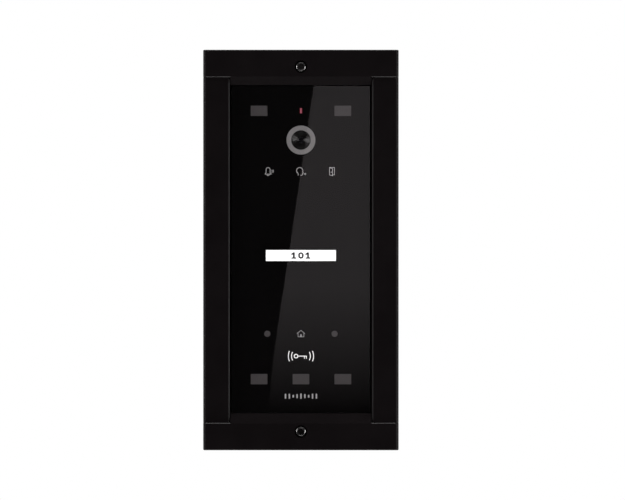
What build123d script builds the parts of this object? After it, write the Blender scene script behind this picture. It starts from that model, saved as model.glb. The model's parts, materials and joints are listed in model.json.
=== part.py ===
from build123d import *
import math
import os

# Door intercom panel, surface mounted, one call key.
# Frame: +X to the right, +Z up, +Y into the wall. The wall is the plane y = 0.
# A "depth" is a distance in front of the wall, so a depth d lies at y = -d.

os.makedirs("parts", exist_ok=True)

# ---------------------------------------------------------------- driving dimensions, mm
PANEL_WIDTH = 107.5
PANEL_HEIGHT = 220.0
PANEL_DEPTH = 34.0

PROFILE_WIDTH = 14.65
PROFILE_DEPTH = 33.5
PROFILE_LENGTH = 189.9
OUTER_WALL = 1.75
INNER_WALL = 1.5
FRAME_FRONT_WALL = 2.0
SKIRT_DEPTH = 1.0
INNER_WALL_DEPTH = 17.0
CORNER_RADIUS = 2.0

CAP_HEIGHT = 15.0
CAP_WALL = 2.0
CAP_FRONT_WALL = 2.5
RIM_CHAMFER = 0.3
BAND_FRONT_DEPTH = 32.2
BAND_BACK_DEPTH = 29.8
TOP_BAND_EDGE = 90.75
BOTTOM_BAND_EDGE = -89.85

GLASS_WIDTH = 76.3
GLASS_TOP = 90.45
GLASS_BOTTOM = -89.55
GLASS_BACK = 29.0
GLASS_FRONT = 32.0
PRINT_BACK = 28.8
PRINT_FRONT = 28.98
TAPE_BACK = 28.3

HOUSING_FRONT = 28.3
HOUSING_WALL_FRONT = 2.0
HOUSING_WALL = 1.8
HOUSING_BACK = 14.5
COVER_BACK = 13.0

BOARD_THICKNESS = 1.6
MAIN_BOARD_BACK = 16.0
FRONT_BOARD_BACK = 22.0

BOX_WIDTH = 102.9
BOX_HEIGHT = 215.4
BOX_FLOOR = 2.5
BOX_WALL = 2.0
BOX_RIM_DEPTH = 16.0

UPPER_SCREW_Z = 100.7
LOWER_SCREW_Z = -99.7
FRONT_SCREW_HEAD_RADIUS = 2.95
FRONT_SCREW_SHANK_RADIUS = 1.7
FRONT_SCREW_TIP_DEPTH = 9.0
SCREW_BOSS_RADIUS = 4.6

CAMERA_Z = 60.65
CAMERA_RING_RADIUS = 8.0
CAMERA_RING_BORE = 5.4
LENS_RADIUS = 1.5
KEY_Z = -3.03
KEY_WIDTH = 38.6
KEY_HEIGHT = 6.04
ICON_Z = 43.3
ICON_X = (-17.7, 0.0, 17.1)
ICON_GUIDE_WIDTH = 7.7
ICON_GUIDE_HEIGHT = 6.1
HOUSE_Z = -46.2
HOUSE_GUIDE_WIDTH = 6.1
HOUSE_GUIDE_HEIGHT = 4.9
READER_Z = -58.5
READER_GUIDE_WIDTH = 16.1
READER_GUIDE_HEIGHT = 7.5
GUIDE_BACK = 25.0
SENSOR_Z = -46.2
SENSOR_X = 18.55
SENSOR_RADIUS = 1.7
WINDOW_X = 23.1
WINDOW_WIDTH = 9.2
WINDOW_HEIGHT = 5.7
UPPER_WINDOW_Z = 76.75
LOWER_WINDOW_Z = -71.2
STATUS_Z = 76.8
MARK_Z = -80.6
SPEAKER_Z = 20.0
SPEAKER_RADIUS = 17.0
MICROPHONE_Z = -46.0

# ---------------------------------------------------------------- derived dimensions
HALF_WIDTH = PANEL_WIDTH / 2
HALF_HEIGHT = PANEL_HEIGHT / 2
PROFILE_INNER_X = HALF_WIDTH - PROFILE_WIDTH
CAP_INNER_Z = HALF_HEIGHT - CAP_HEIGHT
GLASS_HEIGHT = GLASS_TOP - GLASS_BOTTOM
GLASS_Z = (GLASS_TOP + GLASS_BOTTOM) / 2
HOUSING_INSIDE = HOUSING_FRONT - HOUSING_WALL_FRONT
HOUSING_WIDTH = GLASS_WIDTH
HOUSING_HEIGHT = GLASS_HEIGHT - 1.0
MAIN_BOARD_FRONT = MAIN_BOARD_BACK + BOARD_THICKNESS
FRONT_BOARD_FRONT = FRONT_BOARD_BACK + BOARD_THICKNESS
PORT_DEPTH = PROFILE_DEPTH - FRAME_FRONT_WALL - 2.6
PORT_X = (PROFILE_INNER_X + INNER_WALL + 2.6, HALF_WIDTH - OUTER_WALL - 2.6)
WINDOW_SPOTS = [
    (-WINDOW_X, UPPER_WINDOW_Z),
    (WINDOW_X, UPPER_WINDOW_Z),
    (-WINDOW_X, LOWER_WINDOW_Z),
    (0, LOWER_WINDOW_Z),
    (WINDOW_X, LOWER_WINDOW_Z),
]
SENSOR_SPOTS = [(-SENSOR_X, SENSOR_Z), (SENSOR_X, SENSOR_Z)]
ICON_SPOTS = [(x, ICON_Z) for x in ICON_X]
KEY_SPOT = [(0, KEY_Z)]
CAMERA_SPOT = [(0, CAMERA_Z)]
SPEAKER_SPOT = [(0, SPEAKER_Z)]
TAMPER_SPOT = [(20.0, 50.0)]
COVER_SCREW_SPOTS = [(x, z) for x in (-33.6, 33.6) for z in (-84.5, 0.0, 85.4)]
EAR_X = 30.0
EAR_SPOTS = [(x, z) for x in (-EAR_X, EAR_X) for z in (-92.3, 92.6)]
RIB_SPOTS = [(x, z) for x in (-33.0, 33.0) for z in (-62.0, -30.0, 30.0, 62.0)]
WALL_HOLE_SPOTS = [(x, z) for x in (-35.0, 35.0) for z in (-75.0, 75.0)]
CABLE_Z = 20.0
TERMINAL_Z = -25.0
TERMINAL_PITCH = 5.08
TERMINAL_COUNT = 4
TRIMMER_Z = -60.0
TRIMMER_X = 14.0
TRIMMER_SPOTS = [(-TRIMMER_X, TRIMMER_Z), (TRIMMER_X, TRIMMER_Z)]
BUTTON_SPOT = [(0, TRIMMER_Z)]
DRAIN_X = 30.0
DRAIN_DEPTH = 6.0


# ---------------------------------------------------------------- helpers
def facing_front(depth):
    """The plane at this depth, seen from the front: its own x is X and its own y is Z."""
    return Plane(origin=(0, -depth, 0), x_dir=(1, 0, 0), z_dir=(0, -1, 0))


def slab(back, front, width, height, spots=((0, 0),), radius=0):
    """Equal blocks centred on the spots, from one depth to another, with rounded corners."""
    with BuildPart() as block:
        with BuildSketch(facing_front(back)):
            with Locations(*spots):
                if radius:
                    RectangleRounded(width, height, radius)
                else:
                    Rectangle(width, height)
        extrude(amount=front - back)
    return block.part


def disc(back, front, radius, spots=((0, 0),), bore=0):
    """Equal discs or rings centred on the spots, from one depth to another."""
    with BuildPart() as round_block:
        with BuildSketch(facing_front(back)):
            with Locations(*spots):
                Circle(radius)
                if bore:
                    Circle(bore, mode=Mode.SUBTRACT)
        extrude(amount=front - back)
    return round_block.part


def machine_screw(head_radius, head_height, shank_radius, shank_length):
    """A cross-recess screw on the Z axis: head above z = 0, shank below it."""
    with BuildPart() as screw:
        Cylinder(head_radius, head_height, align=(Align.CENTER, Align.CENTER, Align.MIN))
        fillet(screw.edges().group_by(Axis.Z)[-1], head_height * 0.35)
        Cylinder(shank_radius, shank_length, align=(Align.CENTER, Align.CENTER, Align.MAX))
        chamfer(screw.edges().group_by(Axis.Z)[0], shank_radius * 0.3)
        with Locations((0, 0, head_height)):
            recess = (Align.CENTER, Align.CENTER, Align.MAX)
            Box(head_radius, head_radius * 0.22, head_height * 0.6, align=recess, mode=Mode.SUBTRACT)
            Box(head_radius * 0.22, head_radius, head_height * 0.6, align=recess, mode=Mode.SUBTRACT)
    return screw.part


# ---------------------------------------------------------------- symbols, as flat sketches
SYMBOL_LINE = 0.25
WAVE_LINE = 0.24


def bell_symbol():
    """A bell with a clapper and two sound waves, about its own centre."""
    with BuildSketch() as symbol:
        with BuildLine():
            Polyline((-1.7, -1.45), (-1.1, -0.6), (-1.1, 0.85))
            ThreePointArc((-1.1, 0.85), (0, 2.1), (1.1, 0.85))
            Polyline((1.1, 0.85), (1.1, -0.6), (1.7, -1.45), (-1.7, -1.45))
        trace(line_width=SYMBOL_LINE)
        with BuildLine():
            ThreePointArc((-0.55, -1.6), (0, -2.3), (0.55, -1.6))
        trace(line_width=SYMBOL_LINE)
        for reach in (1.95, 2.6):
            swing = 0.3 * reach
            with BuildLine():
                ThreePointArc((reach, -swing), (reach + 0.3, 0.1), (reach, swing + 0.2))
            trace(line_width=WAVE_LINE)
    return symbol.sketch


def speech_symbol():
    """A head outline with sound leaving its mouth, about its own centre."""
    with BuildSketch() as symbol:
        with BuildLine():
            ThreePointArc((-1.15, -2.2), (-1.0, -1.3), (-1.7, -0.4))
            ThreePointArc((-1.7, -0.4), (-0.1, 2.15), (1.45, -0.2))
            Polyline((1.45, -0.2), (1.8, -0.9), (1.35, -1.1))
            ThreePointArc((1.35, -1.1), (1.1, -1.95), (0.2, -2.05))
        trace(line_width=SYMBOL_LINE)
        for reach in (2.3, 2.9):
            swing = 0.26 * reach - 0.2
            with BuildLine():
                ThreePointArc((reach, -1.4 - swing), (reach + 0.25, -1.4), (reach, -1.4 + swing))
            trace(line_width=WAVE_LINE)
    return symbol.sketch


def door_symbol():
    """A door frame with its leaf swung open, about its own centre."""
    with BuildSketch() as symbol:
        with BuildLine():
            Polyline((-1.35, -1.85), (-1.35, 2.2), (1.35, 2.2), (1.35, -1.85), (0.35, -1.85))
        trace(line_width=SYMBOL_LINE)
        with BuildLine():
            Polyline((-1.35, 2.2), (0.3, 1.5), (0.3, -2.4), (-1.35, -1.85))
        trace(line_width=SYMBOL_LINE)
        with Locations((-0.4, -0.4)):
            Circle(0.24)
    return symbol.sketch


def house_symbol_sketch():
    """A plain house with a door, about its own centre."""
    with BuildSketch() as symbol:
        with BuildLine():
            Polyline((-2.3, 0.0), (0, 1.9), (2.3, 0.0))
        trace(line_width=SYMBOL_LINE)
        with BuildLine():
            Polyline((-1.6, 0.35), (-1.6, -1.65), (1.6, -1.65), (1.6, 0.35))
        trace(line_width=SYMBOL_LINE)
        with Locations((0, -1.0)):
            Rectangle(0.8, 1.4)
    return symbol.sketch


def reader_symbol_sketch():
    """A key between two pairs of radio waves, about its own centre."""
    with BuildSketch() as symbol:
        with Locations((-2.7, 0)):
            Circle(1.25)
            Circle(0.76, mode=Mode.SUBTRACT)
        with Locations((0.85, 0)):
            Rectangle(4.7, 0.42)
        for tooth_x in (1.92, 3.03):
            with Locations((tooth_x, -0.7)):
                Rectangle(0.34, 1.5)
        for side in (-1, 1):
            for reach, height in ((5.2, 2.3), (6.95, 2.85)):
                tip_x = side * (reach - 0.6)
                with BuildLine():
                    ThreePointArc((tip_x, -height), (side * reach, 0), (tip_x, height))
                trace(line_width=0.44)
    return symbol.sketch


def sound_mark_sketch():
    """A row of upright bars like a sound level, about its own centre."""
    with BuildSketch() as symbol:
        for step in range(-4, 5):
            bar_height = 1.2 + 1.8 * abs(math.cos(step * 0.9))
            with Locations((step * 2.13, 0)):
                SlotOverall(bar_height, 0.8, rotation=90)
    return symbol.sketch


def flat_number_sketch():
    """The flat number on the name card, as plain digits about their own centre."""
    with BuildSketch() as digits:
        for digit_x in (-3.9, 3.9):
            with Locations((digit_x, 0)):
                Rectangle(1.0, 3.5)
            with Locations((digit_x - 0.75, 0.95)):
                Rectangle(1.6, 0.8, rotation=35)
            with Locations((digit_x, -1.4)):
                Rectangle(2.6, 0.7)
        SlotOverall(3.5, 3.0, rotation=90)
        SlotOverall(1.8, 1.1, rotation=90, mode=Mode.SUBTRACT)
    return digits.sketch


def place_symbol(symbol, depth, x, z):
    """The symbol moved onto the plane at this depth."""
    return facing_front(depth) * Pos(x, z) * symbol


STATUS_SYMBOLS = [
    place_symbol(bell_symbol(), PRINT_BACK, ICON_X[0] - 0.4, ICON_Z),
    place_symbol(speech_symbol(), PRINT_BACK, ICON_X[1] - 0.5, ICON_Z),
    place_symbol(door_symbol(), PRINT_BACK, ICON_X[2], ICON_Z),
]
HOUSE_FACE = place_symbol(house_symbol_sketch(), PRINT_BACK, 0, HOUSE_Z)
READER_FACE = place_symbol(reader_symbol_sketch(), PRINT_BACK, 0, READER_Z)
MARK_FACE = place_symbol(sound_mark_sketch(), PRINT_BACK, 0, MARK_Z)
PRINT_THICKNESS = PRINT_FRONT - PRINT_BACK

# ---------------------------------------------------------------- back box, fixed to the wall
with BuildPart() as back_box:
    add(slab(0, BOX_RIM_DEPTH, BOX_WIDTH, BOX_HEIGHT, radius=2.5))
    cavity_width = BOX_WIDTH - 2 * BOX_WALL
    cavity_height = BOX_HEIGHT - 2 * BOX_WALL
    add(
        slab(BOX_FLOOR, BOX_RIM_DEPTH, cavity_width, cavity_height, radius=1.0),
        mode=Mode.SUBTRACT,
    )
    # bosses for the front screws, and pads round the wall screws
    screw_bosses = [(0, UPPER_SCREW_Z), (0, LOWER_SCREW_Z)]
    add(disc(BOX_FLOOR - 0.5, BOX_RIM_DEPTH, SCREW_BOSS_RADIUS, screw_bosses))
    add(disc(6.0, BOX_RIM_DEPTH, 2.6, screw_bosses), mode=Mode.SUBTRACT)
    add(disc(BOX_FLOOR - 0.5, BOX_FLOOR + 1.5, 5.5, WALL_HOLE_SPOTS))
    add(disc(0, BOX_FLOOR + 1.5, 2.3, WALL_HOLE_SPOTS), mode=Mode.SUBTRACT)
    # cable entry, with a recess behind for the grommet's rear flange
    add(disc(0, BOX_FLOOR, 11.0, [(0, CABLE_Z)]), mode=Mode.SUBTRACT)
    add(disc(0, 1.0, 13.0, [(0, CABLE_Z)]), mode=Mode.SUBTRACT)
    # groove behind for the wall gasket
    with BuildSketch(facing_front(0)):
        RectangleRounded(BOX_WIDTH - 5.0, BOX_HEIGHT - 5.0, 3.0)
        RectangleRounded(BOX_WIDTH - 12.0, BOX_HEIGHT - 12.0, 2.0, mode=Mode.SUBTRACT)
    extrude(amount=1.2, mode=Mode.SUBTRACT)
    # stiffening ribs on the floor
    for rib_z in (-50.0, 50.0):
        add(slab(BOX_FLOOR - 0.5, BOX_FLOOR + 1.5, cavity_width + 1.0, 1.6, [(0, rib_z)]))
    # drain slots through the bottom wall
    for drain_x in (-DRAIN_X, DRAIN_X):
        with Locations((drain_x, -DRAIN_DEPTH, -BOX_HEIGHT / 2 + BOX_WALL / 2)):
            Box(8.0, 3.0, BOX_WALL + 1.0, mode=Mode.SUBTRACT)
back_box.part.label = "back_box"
export_step(back_box.part, "parts/back_box.step")

with BuildPart() as wall_gasket:
    with BuildSketch(facing_front(0)):
        RectangleRounded(BOX_WIDTH - 5.2, BOX_HEIGHT - 5.2, 2.9)
        RectangleRounded(BOX_WIDTH - 11.8, BOX_HEIGHT - 11.8, 2.1, mode=Mode.SUBTRACT)
    extrude(amount=1.2)
wall_gasket.part.label = "wall_gasket"
export_step(wall_gasket.part, "parts/wall_gasket.step")

with BuildPart() as cable_grommet:
    with BuildSketch(Plane.XY) as grommet_section:
        with BuildLine():
            Polyline(
                (4.0, 0.1), (12.8, 0.1), (12.8, 1.0), (10.9, 1.0), (10.9, 2.5),
                (12.8, 2.5), (12.8, 3.9), (7.0, 4.3), (6.0, 8.0), (4.0, 8.0), (4.0, 0.1),
            )
        make_face()
    revolve(axis=Axis.Y)
cable_grommet_placed = Pos(0, 0, CABLE_Z) * Rot(180, 0, 0) * cable_grommet.part
cable_grommet_placed.label = "cable_grommet"
export_step(cable_grommet_placed, "parts/cable_grommet.step")

with BuildPart() as threaded_inserts:
    add(disc(6.0, BOX_RIM_DEPTH - 0.1, 2.55, screw_bosses, bore=FRONT_SCREW_SHANK_RADIUS + 0.05))
threaded_inserts.part.label = "threaded_inserts"
export_step(threaded_inserts.part, "parts/threaded_inserts.step")


# ---------------------------------------------------------------- frame: side profiles and end caps
with BuildPart() as right_side_profile:
    with BuildSketch(Plane.XY.offset(-PROFILE_LENGTH / 2)):
        front_y = -PROFILE_DEPTH
        with Locations((PROFILE_INNER_X, front_y)):
            Rectangle(PROFILE_WIDTH, FRAME_FRONT_WALL, align=Align.MIN)
        with Locations((HALF_WIDTH - OUTER_WALL, front_y)):
            Rectangle(OUTER_WALL, PROFILE_DEPTH - SKIRT_DEPTH, align=Align.MIN)
        with Locations((PROFILE_INNER_X, front_y)):
            Rectangle(INNER_WALL, PROFILE_DEPTH - INNER_WALL_DEPTH, align=Align.MIN)
        port_spots = [(x, -PORT_DEPTH) for x in PORT_X]
        with Locations(*port_spots):
            Rectangle(5.3, 5.3)
        with Locations(*port_spots):
            Circle(1.25, mode=Mode.SUBTRACT)
    extrude(amount=PROFILE_LENGTH)
    long_edges = right_side_profile.edges().filter_by(Axis.Z)
    fillet(long_edges.sort_by_distance((HALF_WIDTH, front_y, 0))[0], CORNER_RADIUS)
    long_edges = right_side_profile.edges().filter_by(Axis.Z)
    chamfer(long_edges.sort_by_distance((PROFILE_INNER_X, front_y, 0))[0], 0.7)
right_side_profile.part.label = "right_side_profile"
export_step(right_side_profile.part, "parts/right_side_profile.step")

with BuildPart() as left_side_profile:
    mirror(right_side_profile.part, about=Plane.YZ)
left_side_profile.part.label = "left_side_profile"
export_step(left_side_profile.part, "parts/left_side_profile.step")


def end_cap(side, band_edge, screw_z):
    """The top (side = 1) or bottom (side = -1) cap, with the sloping band beside the glass."""
    middle_z = side * (HALF_HEIGHT - CAP_HEIGHT / 2)
    pocket_z = side * (HALF_HEIGHT - CAP_WALL - (CAP_HEIGHT - 2 * CAP_WALL) / 2)
    inner_z = side * CAP_INNER_Z
    with BuildPart() as cap:
        add(slab(SKIRT_DEPTH, PANEL_DEPTH, PANEL_WIDTH, CAP_HEIGHT, [(0, middle_z)]))
        front_edges = cap.edges().filter_by(Axis.Z).group_by(Axis.Y)[0]
        fillet(front_edges, CORNER_RADIUS)
        rim_edges = cap.edges().filter_by(Axis.X).group_by(Axis.Y)[0]
        chamfer(rim_edges, RIM_CHAMFER)
        # sloping band between the side profiles
        with BuildSketch(Plane.YZ) as band_section:
            with BuildLine():
                Polyline(
                    (-PANEL_DEPTH, side * (CAP_INNER_Z + 2.0)),
                    (-PANEL_DEPTH, side * (CAP_INNER_Z + RIM_CHAMFER)),
                    (-BAND_FRONT_DEPTH, band_edge),
                    (-BAND_BACK_DEPTH, band_edge),
                    (-BAND_BACK_DEPTH, side * (CAP_INNER_Z + 2.0)),
                    (-PANEL_DEPTH, side * (CAP_INNER_Z + 2.0)),
                )
            make_face()
        extrude(amount=PROFILE_INNER_X - 0.3, both=True)
        # hollow behind, open towards the wall
        pocket_width = PANEL_WIDTH - 2 * CAP_WALL
        pocket_height = CAP_HEIGHT - 2 * CAP_WALL
        pocket_front = PANEL_DEPTH - CAP_FRONT_WALL
        add(
            slab(SKIRT_DEPTH - 1, pocket_front, pocket_width, pocket_height, [(0, pocket_z)]),
            mode=Mode.SUBTRACT,
        )
        add(
            slab(SKIRT_DEPTH - 1, INNER_WALL_DEPTH, pocket_width, 6.0, [(0, inner_z)]),
            mode=Mode.SUBTRACT,
        )
        # boss for the front screw, with a sunk seat for its head
        screw_spot = [(0, screw_z)]
        add(disc(BOX_RIM_DEPTH + 0.3, pocket_front + 0.5, SCREW_BOSS_RADIUS, screw_spot))
        add(disc(0, PANEL_DEPTH + 1, 1.95, screw_spot), mode=Mode.SUBTRACT)
        add(disc(31.2, PANEL_DEPTH + 1, 3.45, screw_spot), mode=Mode.SUBTRACT)
        # holes for the screws into the side profiles
        for port_x in PORT_X:
            for hole_x in (-port_x, port_x):
                with Locations((hole_x, -PORT_DEPTH, inner_z)):
                    Cylinder(1.45, 8.0, mode=Mode.SUBTRACT)
        # posts for the housing's ears
        ear_spots = [(x, z) for x, z in EAR_SPOTS if z * side > 0]
        add(disc(26.3, BAND_BACK_DEPTH + 0.5, 2.0, ear_spots))
        add(disc(26.0, BAND_BACK_DEPTH + 0.2, 1.25, ear_spots), mode=Mode.SUBTRACT)
    return cap.part


with BuildPart() as top_end_cap:
    add(end_cap(1, TOP_BAND_EDGE, UPPER_SCREW_Z))
top_end_cap.part.label = "top_end_cap"
export_step(top_end_cap.part, "parts/top_end_cap.step")

with BuildPart() as bottom_end_cap:
    add(end_cap(-1, BOTTOM_BAND_EDGE, LOWER_SCREW_Z))
    # drain slots in the underside
    for drain_x in (-DRAIN_X, DRAIN_X):
        with Locations((drain_x, -DRAIN_DEPTH, -HALF_HEIGHT + CAP_WALL / 2)):
            Box(10.0, 3.0, CAP_WALL + 1.0, mode=Mode.SUBTRACT)
bottom_end_cap.part.label = "bottom_end_cap"
export_step(bottom_end_cap.part, "parts/bottom_end_cap.step")

with BuildPart() as end_cap_screws:
    for cap_side in (-1, 1):
        for port_x in PORT_X:
            for hole_x in (-port_x, port_x):
                head_seat = (hole_x, -PORT_DEPTH, cap_side * (CAP_INNER_Z + CAP_WALL))
                tilt = (0, 0, 0) if cap_side > 0 else (180, 0, 0)
                with Locations(Location(head_seat, tilt)):
                    add(machine_screw(2.25, 1.6, 1.2, 10.0))
end_cap_screws.part.label = "end_cap_screws"
export_step(end_cap_screws.part, "parts/end_cap_screws.step")

# ---------------------------------------------------------------- front glass, print and tape
with BuildPart() as front_glass:
    add(slab(GLASS_BACK, GLASS_FRONT, GLASS_WIDTH, GLASS_HEIGHT, [(0, GLASS_Z)], radius=0.5))
    chamfer(front_glass.faces().sort_by(Axis.Y)[0].edges(), 0.25)
    add(
        slab(GLASS_BACK, GLASS_FRONT, KEY_WIDTH + 0.8, KEY_HEIGHT + 0.8, KEY_SPOT, radius=0.5),
        mode=Mode.SUBTRACT,
    )
front_glass.part.label = "front_glass"
export_step(front_glass.part, "parts/front_glass.step")

with BuildPart() as glass_print:
    print_width = GLASS_WIDTH - 0.4
    print_height = GLASS_HEIGHT - 0.4
    add(slab(PRINT_BACK, PRINT_FRONT, print_width, print_height, [(0, GLASS_Z)], radius=0.4))
    add(
        slab(PRINT_BACK, PRINT_FRONT, KEY_WIDTH + 0.8, KEY_HEIGHT + 0.8, KEY_SPOT, radius=0.5),
        mode=Mode.SUBTRACT,
    )
    add(slab(PRINT_BACK, PRINT_FRONT, WINDOW_WIDTH, WINDOW_HEIGHT, WINDOW_SPOTS), mode=Mode.SUBTRACT)
    add(slab(PRINT_BACK, PRINT_FRONT, 1.6, 2.9, [(0, STATUS_Z)], radius=0.3), mode=Mode.SUBTRACT)
    add(disc(PRINT_BACK, PRINT_FRONT, SENSOR_RADIUS, SENSOR_SPOTS), mode=Mode.SUBTRACT)
    add(disc(PRINT_BACK, PRINT_FRONT, CAMERA_RING_RADIUS, CAMERA_SPOT), mode=Mode.SUBTRACT)
    for symbol_face in STATUS_SYMBOLS + [HOUSE_FACE, READER_FACE, MARK_FACE]:
        extrude(symbol_face, amount=PRINT_THICKNESS, dir=(0, -1, 0), mode=Mode.SUBTRACT)
glass_print.part.label = "glass_print"
export_step(glass_print.part, "parts/glass_print.step")

with BuildPart() as status_icons:
    for symbol_face in STATUS_SYMBOLS:
        extrude(symbol_face, amount=PRINT_THICKNESS, dir=(0, -1, 0))
status_icons.part.label = "status_icons"
export_step(status_icons.part, "parts/status_icons.step")

with BuildPart() as reader_symbol:
    extrude(READER_FACE, amount=PRINT_THICKNESS, dir=(0, -1, 0))
reader_symbol.part.label = "reader_symbol"
export_step(reader_symbol.part, "parts/reader_symbol.step")

with BuildPart() as lower_symbols:
    for symbol_face in (HOUSE_FACE, MARK_FACE):
        extrude(symbol_face, amount=PRINT_THICKNESS, dir=(0, -1, 0))
lower_symbols.part.label = "lower_symbols"
export_step(lower_symbols.part, "parts/lower_symbols.step")

with BuildPart() as glass_tape:
    with BuildSketch(facing_front(TAPE_BACK)):
        with Locations((0, GLASS_Z)):
            RectangleRounded(GLASS_WIDTH - 0.8, GLASS_HEIGHT - 1.6, 0.5)
            RectangleRounded(GLASS_WIDTH - 5.8, GLASS_HEIGHT - 6.6, 0.5, mode=Mode.SUBTRACT)
    extrude(amount=PRINT_BACK - TAPE_BACK)
glass_tape.part.label = "glass_tape"
export_step(glass_tape.part, "parts/glass_tape.step")

# ---------------------------------------------------------------- housing behind the glass
with BuildPart() as front_housing:
    add(slab(HOUSING_BACK, HOUSING_FRONT, HOUSING_WIDTH, HOUSING_HEIGHT, [(0, GLASS_Z)], radius=1.0))
    inside_width = HOUSING_WIDTH - 2 * HOUSING_WALL
    inside_height = HOUSING_HEIGHT - 2 * HOUSING_WALL
    add(
        slab(HOUSING_BACK, HOUSING_INSIDE, inside_width, inside_height, [(0, GLASS_Z)], radius=0.8),
        mode=Mode.SUBTRACT,
    )
    # ears that screw to the end caps
    ear_blocks = [(x, z) for x in (-EAR_X, EAR_X) for z in (-91.6, 91.9)]
    add(slab(24.3, HOUSING_INSIDE - 0.05, 10.0, 5.6, ear_blocks))
    add(disc(24.0, HOUSING_INSIDE + 1, 1.45, EAR_SPOTS), mode=Mode.SUBTRACT)
    # bosses for the rear cover's screws, and ribs that the main board rests on
    add(disc(HOUSING_BACK, HOUSING_INSIDE + 0.5, 2.5, COVER_SCREW_SPOTS))
    add(slab(MAIN_BOARD_FRONT, HOUSING_INSIDE + 0.5, 7.0, 1.6, RIB_SPOTS))
    add(disc(HOUSING_BACK, HOUSING_INSIDE - 2, 1.25, COVER_SCREW_SPOTS), mode=Mode.SUBTRACT)
    # openings for what shows or works through the glass
    back = HOUSING_INSIDE - 0.5
    front = HOUSING_FRONT + 0.5
    rectangular_openings = [
        slab(back, front, WINDOW_WIDTH + 0.3, WINDOW_HEIGHT + 0.3, WINDOW_SPOTS),
        slab(back, front, KEY_WIDTH + 0.8, KEY_HEIGHT + 0.8, KEY_SPOT, radius=0.5),
        slab(back, front, ICON_GUIDE_WIDTH + 0.3, ICON_GUIDE_HEIGHT + 0.3, ICON_SPOTS),
        slab(back, front, HOUSE_GUIDE_WIDTH + 0.3, HOUSE_GUIDE_HEIGHT + 0.3, [(0, HOUSE_Z)]),
        slab(back, front, READER_GUIDE_WIDTH + 0.3, READER_GUIDE_HEIGHT + 0.3, [(0, READER_Z)]),
        slab(back, front, 1.9, 3.2, [(0, STATUS_Z)], radius=0.3),
    ]
    for opening in rectangular_openings:
        add(opening, mode=Mode.SUBTRACT)
    add(disc(back, front, SENSOR_RADIUS + 0.15, SENSOR_SPOTS), mode=Mode.SUBTRACT)
    add(disc(back, front, CAMERA_RING_RADIUS + 0.1, CAMERA_SPOT), mode=Mode.SUBTRACT)
    # sound slots in the side walls beside the loudspeaker, and the microphone's port
    for slot_z in (SPEAKER_Z - 8, SPEAKER_Z, SPEAKER_Z + 8):
        for slot_side in (-1, 1):
            with Locations((slot_side * HOUSING_WIDTH / 2, -22.0, slot_z)):
                Box(2 * HOUSING_WALL + 1, 5.0, 2.0, mode=Mode.SUBTRACT)
    with Locations(Location((-HOUSING_WIDTH / 2, -22.0, MICROPHONE_Z), (0, 90, 0))):
        Cylinder(0.8, 2 * HOUSING_WALL + 1, mode=Mode.SUBTRACT)
front_housing.part.label = "front_housing"
export_step(front_housing.part, "parts/front_housing.step")

with BuildPart() as rear_cover:
    cover_front = HOUSING_BACK - 0.05
    add(slab(COVER_BACK, cover_front, HOUSING_WIDTH, HOUSING_HEIGHT, [(0, GLASS_Z)], radius=1.0))
    board_pads = [(x * 0.86, z) for x, z in RIB_SPOTS]
    add(slab(HOUSING_BACK - 0.1, MAIN_BOARD_BACK, 4.0, 6.0, board_pads))
    add(disc(COVER_BACK, HOUSING_BACK, 1.45, COVER_SCREW_SPOTS), mode=Mode.SUBTRACT)
    terminal_width = TERMINAL_PITCH * TERMINAL_COUNT + 0.6
    cover_openings = [
        slab(COVER_BACK, HOUSING_BACK, terminal_width + 1.4, 10.2, [(0, TERMINAL_Z)]),
        slab(COVER_BACK, HOUSING_BACK, 7.2, 7.2, TRIMMER_SPOTS),
        slab(COVER_BACK, HOUSING_BACK, 6.8, 6.8, BUTTON_SPOT),
        disc(COVER_BACK, HOUSING_BACK, 2.5, TAMPER_SPOT),
    ]
    for opening in cover_openings:
        add(opening, mode=Mode.SUBTRACT)
rear_cover.part.label = "rear_cover"
export_step(rear_cover.part, "parts/rear_cover.step")

with BuildPart() as housing_screws:
    for screw_x, screw_z in COVER_SCREW_SPOTS:
        with Locations(Location((screw_x, -COVER_BACK, screw_z), (-90, 0, 0))):
            add(machine_screw(2.1, 1.4, 1.2, 9.0))
    for screw_x, screw_z in EAR_SPOTS:
        with Locations(Location((screw_x, -24.3, screw_z), (-90, 0, 0))):
            add(machine_screw(2.1, 1.4, 1.2, 5.2))
housing_screws.part.label = "housing_screws"
export_step(housing_screws.part, "parts/housing_screws.step")

# ---------------------------------------------------------------- what shows behind the glass
with BuildPart() as illuminator_windows:
    add(slab(HOUSING_INSIDE + 0.2, PRINT_FRONT, WINDOW_WIDTH - 0.04, WINDOW_HEIGHT - 0.04, WINDOW_SPOTS))
illuminator_windows.part.label = "illuminator_windows"
export_step(illuminator_windows.part, "parts/illuminator_windows.step")

with BuildPart() as sensor_windows:
    add(disc(HOUSING_INSIDE, PRINT_FRONT, SENSOR_RADIUS - 0.02, SENSOR_SPOTS))
sensor_windows.part.label = "sensor_windows"
export_step(sensor_windows.part, "parts/sensor_windows.step")

with BuildPart() as status_light_pipe:
    add(slab(25.0, PRINT_FRONT, 1.56, 2.86, [(0, STATUS_Z)], radius=0.28))
status_light_pipe.part.label = "status_light_pipe"
export_step(status_light_pipe.part, "parts/status_light_pipe.step")

with BuildPart() as light_guides:
    guide_front = PRINT_BACK - 0.02
    add(slab(GUIDE_BACK, guide_front, ICON_GUIDE_WIDTH, ICON_GUIDE_HEIGHT, ICON_SPOTS))
    add(slab(GUIDE_BACK, guide_front, HOUSE_GUIDE_WIDTH, HOUSE_GUIDE_HEIGHT, [(0, HOUSE_Z)]))
    add(slab(GUIDE_BACK, guide_front, READER_GUIDE_WIDTH, READER_GUIDE_HEIGHT, [(0, READER_Z)]))
light_guides.part.label = "light_guides"
export_step(light_guides.part, "parts/light_guides.step")

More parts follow.
